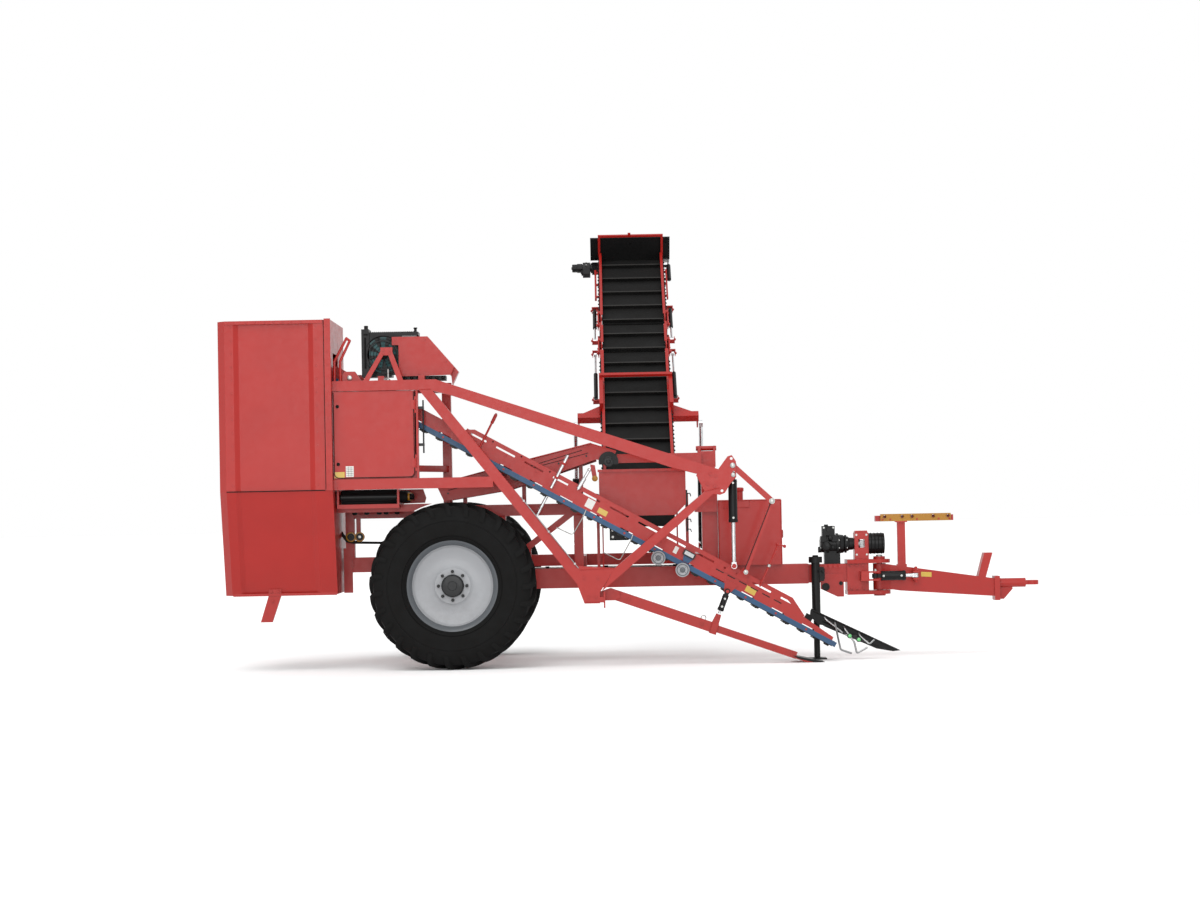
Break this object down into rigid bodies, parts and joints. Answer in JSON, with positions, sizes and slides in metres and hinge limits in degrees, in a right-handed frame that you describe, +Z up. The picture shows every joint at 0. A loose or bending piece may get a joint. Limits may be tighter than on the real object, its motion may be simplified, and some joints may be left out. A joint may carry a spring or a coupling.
{
  "type": "trailed root crop harvester",
  "caption": "Trailed one-row root harvester: belts lift the crop by its tops up a sloping unit, a rear chute drops haulm and a folding elevator unloads to the side.",
  "frame": {"origin": "bottom centre of the bounding box, on the ground", "axes": "+X towards the hitch, the way it is towed; +Y to its left, where the elevator unloads; +Z up"},
  "size_m": [8.1878, 4.065, 4.6594],
  "materials": {
    "red_paint": "satin machine enamel",
    "blue_paint": "satin",
    "black_paint": "satin",
    "yellow_paint": "satin",
    "rim_paint": "satin",
    "rod_chrome": "polished",
    "disc_steel": "turned",
    "tyre_rubber": "matt",
    "belt_rubber": "matt"
  },
  "bodies": {
    "chassis": {"chassis": "red_paint", "side_frame": "red_paint", "inner_frame": "red_paint", "mast": "red_paint", "rear_chute": "red_paint", "oil_cooler": "black_paint", "cooler_guard": "red_paint", "cooler_stand": "red_paint", "roller_bank": "black_paint", "roller_frame": "red_paint", "belt_pulleys": "black_paint", "conveyor_trough": "red_paint", "conveyor_belt": "belt_rubber", "conveyor_drive": "black_paint", "hopper": "red_paint", "hopper_boot": "black_paint", "tank": "red_paint", "steering_head": "red_paint", "jack_sleeve": "black_paint", "pump": "black_paint", "pto_bracket": "red_paint", "pto_guard": "black_paint"},
    "wheel_right": {"tyre_right": "tyre_rubber", "rim_right": "rim_paint"},
    "wheel_left": {"tyre_left": "tyre_rubber", "rim_left": "rim_paint"},
    "drawbar": {"drawbar": "red_paint", "hose_rack": "yellow_paint", "rack_rail": "red_paint"},
    "steer_barrel": {"steer_barrel": "black_paint"},
    "steer_rod": {"steer_rod": "rod_chrome"},
    "jack_leg": {"jack_leg": "black_paint"},
    "side_door": {"side_door": "red_paint"},
    "lifter": {"lifter_frame": "red_paint", "lifter_rails": "blue_paint", "lifter_belts": "belt_rubber", "belt_rollers": "black_paint", "lifter_discs": "disc_steel", "crop_divider": "black_paint"},
    "lift_barrel": {"lift_barrel": "black_paint"},
    "lift_rod": {"lift_rod": "rod_chrome"},
    "link_upper": {"link_upper": "red_paint"},
    "link_lower": {"link_lower": "red_paint"},
    "share_beam": {"share_beam": "red_paint"},
    "depth_barrel": {"depth_barrel": "black_paint"},
    "depth_rod": {"depth_rod": "rod_chrome"},
    "elevator_low": {"elevator_low": "red_paint", "belt_low": "belt_rubber"},
    "elevator_mid": {"elevator_mid": "red_paint", "belt_mid": "belt_rubber"},
    "elevator_tip": {"elevator_tip": "red_paint", "belt_tip": "belt_rubber", "elevator_hood": "belt_rubber", "elevator_motor": "black_paint"},
    "base_barrels": {"base_barrels": "black_paint"},
    "base_rods": {"base_rods": "rod_chrome"},
    "knee1_barrels": {"knee1_barrels": "black_paint"},
    "knee1_rods": {"knee1_rods": "rod_chrome"},
    "knee2_barrels": {"knee2_barrels": "black_paint"},
    "knee2_rods": {"knee2_rods": "rod_chrome"}
  },
  "joints": [
    {"name": "wheel_right_spin", "type": "hinge", "parent": "chassis", "child": "wheel_right", "pos_m": [-1.822, -1.78651, 0.825], "axis": [0, 1, 0], "continuous": true},
    {"name": "wheel_left_spin", "type": "hinge", "parent": "chassis", "child": "wheel_left", "pos_m": [-1.822, 0.45349, 0.825], "axis": [0, 1, 0], "continuous": true},
    {"name": "drawbar_steer", "type": "hinge", "parent": "chassis", "child": "drawbar", "pos_m": [2.478, -1.11651, 0.825], "axis": [0, 0, 1], "range_deg": [-20, 20]},
    {"name": "steer_barrel_swing", "type": "hinge", "parent": "chassis", "child": "steer_barrel", "pos_m": [2.413, -1.32151, 0.825], "axis": [0, 0, 1], "range_deg": [-19, 19]},
    {"name": "steer_rod_slide", "type": "slide", "parent": "steer_barrel", "child": "steer_rod", "axis": [1, 0, 0], "range_m": [-0.08, 0.08]},
    {"name": "jack_slide", "type": "slide", "parent": "chassis", "child": "jack_leg", "axis": [0, 0, 1], "range_m": [0, 0.38]},
    {"name": "door_swing", "type": "hinge", "parent": "chassis", "child": "side_door", "pos_m": [-2.159, -1.96251, 2.3], "axis": [0, 0, 1], "range_deg": [0, 110]},
    {"name": "lifter_raise", "type": "hinge", "parent": "chassis", "child": "lifter", "pos_m": [-2.804, -1.59651, 2.897], "axis": [0, -1, 0], "range_deg": [0, 5]},
    {"name": "lift_barrel_swing", "type": "hinge", "parent": "chassis", "child": "lift_barrel", "pos_m": [0.964, -1.79651, 1.867], "axis": [0, -1, 0], "range_deg": [-0.5, 16]},
    {"name": "lift_rod_slide", "type": "slide", "parent": "lift_barrel", "child": "lift_rod", "axis": [-0.0011, 0, -1], "range_m": [-0.32, 0.005]},
    {"name": "link_upper_swing", "type": "hinge", "parent": "chassis", "child": "link_upper", "pos_m": [0.96, -1.94151, 1.96], "axis": [0, -1, 0], "range_deg": [-1, 44]},
    {"name": "link_lower_swing", "type": "hinge", "parent": "lifter", "child": "link_lower", "pos_m": [1.07197, -1.89251, 0.90502], "axis": [0, -1, 0], "range_deg": [-5, 1]},
    {"name": "share_raise", "type": "hinge", "parent": "chassis", "child": "share_beam", "pos_m": [-0.218, -1.79651, 0.702], "axis": [0, -1, 0], "range_deg": [-0.5, 15.5]},
    {"name": "depth_barrel_swing", "type": "hinge", "parent": "lifter", "child": "depth_barrel", "pos_m": [0.89201, -1.79651, 0.71603], "axis": [0, -1, 0], "range_deg": [-24, 1]},
    {"name": "depth_rod_slide", "type": "slide", "parent": "depth_barrel", "child": "depth_rod", "axis": [-0.3666, 0, -0.9304], "range_m": [-0.005, 0.135]},
    {"name": "elevator_tilt", "type": "hinge", "parent": "chassis", "child": "elevator_low", "pos_m": [0.048, -1.22251, 1.791], "axis": [1, 0, 0], "range_deg": [-18, 5]},
    {"name": "knee1_fold", "type": "hinge", "parent": "elevator_low", "child": "elevator_mid", "pos_m": [0.048, 0.45023, 3.24037], "axis": [1, 0, 0], "range_deg": [-10, 35]},
    {"name": "knee2_fold", "type": "hinge", "parent": "elevator_mid", "child": "elevator_tip", "pos_m": [0.048, 0.85313, 3.56594], "axis": [1, 0, 0], "range_deg": [-40, 10]},
    {"name": "base_barrels_swing", "type": "hinge", "parent": "chassis", "child": "base_barrels", "pos_m": [0.048, -0.09151, 1.145], "axis": [1, 0, 0], "range_deg": [-6.5, 3.5]},
    {"name": "base_rods_slide", "type": "slide", "parent": "base_barrels", "child": "base_rods", "axis": [0, -0.1811, 0.9835], "range_m": [-0.33, 0.15]},
    {"name": "knee1_barrels_swing", "type": "hinge", "parent": "elevator_low", "child": "knee1_barrels", "pos_m": [0.048, -0.02133, 2.71019], "axis": [1, 0, 0], "range_deg": [-3, 7]},
    {"name": "knee1_rods_slide", "type": "slide", "parent": "knee1_barrels", "child": "knee1_rods", "axis": [0, 0.7778, 0.6285], "range_m": [-0.03, 0.06]},
    {"name": "knee2_barrels_swing", "type": "hinge", "parent": "elevator_tip", "child": "knee2_barrels", "pos_m": [0.048, 1.27605, 3.75854], "axis": [1, 0, 0], "range_deg": [-3, 8]},
    {"name": "knee2_rods_slide", "type": "slide", "parent": "knee2_barrels", "child": "knee2_rods", "axis": [0, -0.7778, -0.6285], "range_m": [-0.11, 0.03]}
  ],
  "couplings": [
    {"joint": "steer_barrel_swing", "follows": "drawbar_steer", "ratio": 0.86},
    {"joint": "steer_rod_slide", "follows": "drawbar_steer", "m_per_rad": 0.198},
    {"joint": "lift_barrel_swing", "follows": "lifter_raise", "ratio": 3},
    {"joint": "lift_rod_slide", "follows": "lifter_raise", "m_per_rad": -3.614},
    {"joint": "link_upper_swing", "follows": "lifter_raise", "ratio": 8.49},
    {"joint": "link_lower_swing", "follows": "lifter_raise", "ratio": -0.716},
    {"joint": "share_raise", "follows": "lifter_raise", "ratio": 3},
    {"joint": "depth_barrel_swing", "follows": "lifter_raise", "ratio": -4.48},
    {"joint": "depth_rod_slide", "follows": "lifter_raise", "m_per_rad": 1.483},
    {"joint": "base_barrels_swing", "follows": "elevator_tilt", "ratio": 0.33},
    {"joint": "base_rods_slide", "follows": "elevator_tilt", "m_per_rad": 1},
    {"joint": "knee1_barrels_swing", "follows": "knee1_fold", "ratio": 0.17},
    {"joint": "knee1_rods_slide", "follows": "knee1_fold", "m_per_rad": 0.085},
    {"joint": "knee2_barrels_swing", "follows": "knee2_fold", "ratio": -0.18},
    {"joint": "knee2_rods_slide", "follows": "knee2_fold", "m_per_rad": 0.14}
  ]
}
